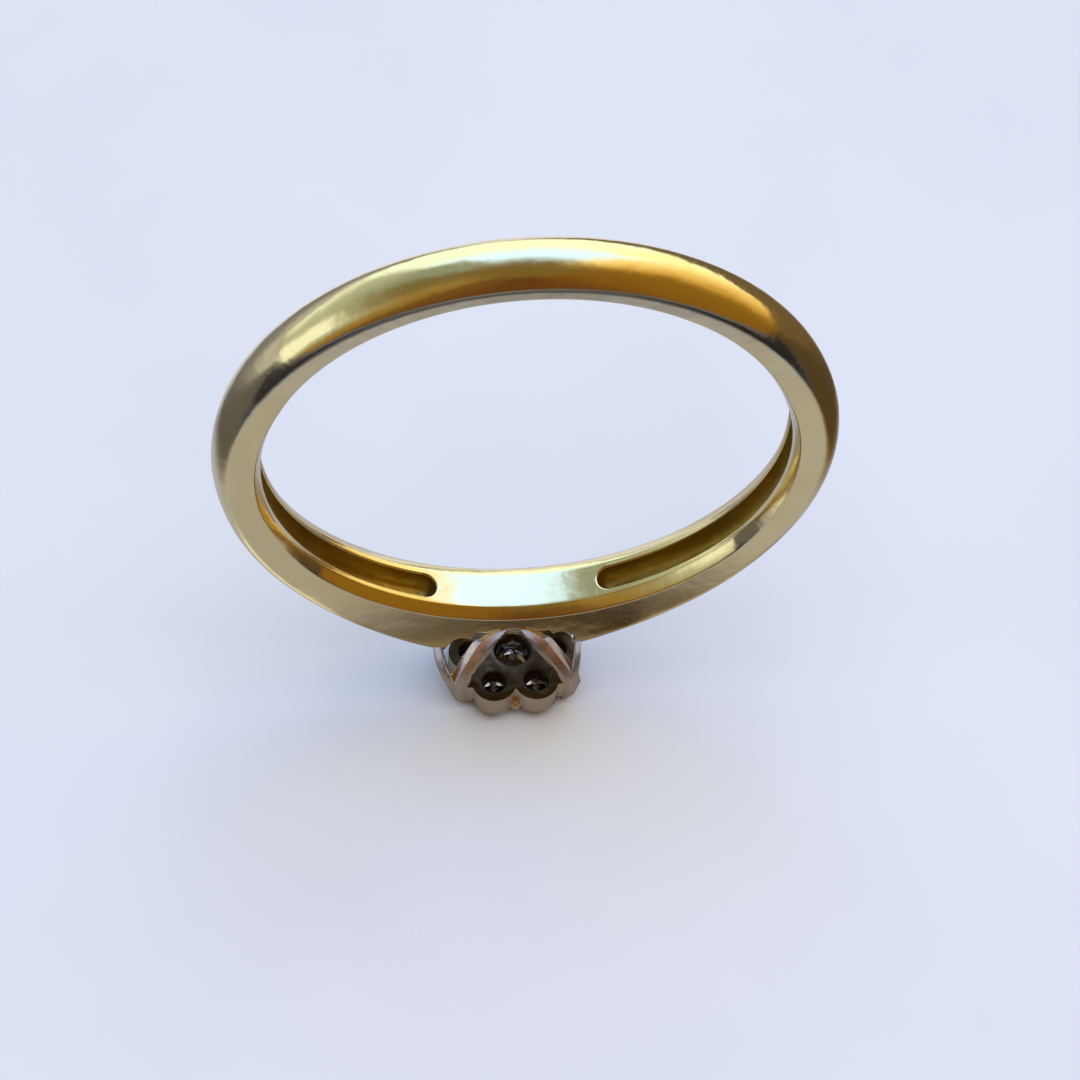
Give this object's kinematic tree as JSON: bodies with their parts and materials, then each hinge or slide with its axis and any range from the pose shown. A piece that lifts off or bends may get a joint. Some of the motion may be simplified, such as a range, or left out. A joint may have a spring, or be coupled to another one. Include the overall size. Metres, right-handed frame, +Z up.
{
  "type": "engagement ring",
  "caption": "Slim half-round yellow-gold ring with raised shoulders, recesses inside the band and a claw-held round cluster of small brilliants in a white-gold head.",
  "frame": {"origin": "centre of the finger bore, midway along its length", "axes": "+Y along the finger bore, +Z up through the back of the band, with the claws and stones at the bottom, towards -Z; +X across the ring"},
  "size_m": [0.02, 0.004, 0.0236],
  "materials": {
    "yellow_gold": "polished, with fine wear scratches",
    "white_gold": "polished",
    "hard_solder": "satin",
    "diamond": "faceted, polished"
  },
  "bodies": {
    "root": {"shank": "yellow_gold", "claw_front_left": "white_gold", "claw_front_right": "white_gold", "claw_back_left": "white_gold", "claw_back_right": "white_gold", "cluster_plate": "white_gold", "inner_grains": "white_gold", "outer_grains": "white_gold", "solder_front": "hard_solder", "solder_back": "hard_solder", "shoulder_solder": "hard_solder", "diamond_centre": "diamond", "diamond_1": "diamond", "diamond_2": "diamond", "diamond_3": "diamond", "diamond_4": "diamond", "diamond_5": "diamond", "diamond_6": "diamond"}
  },
  "joints": []
}
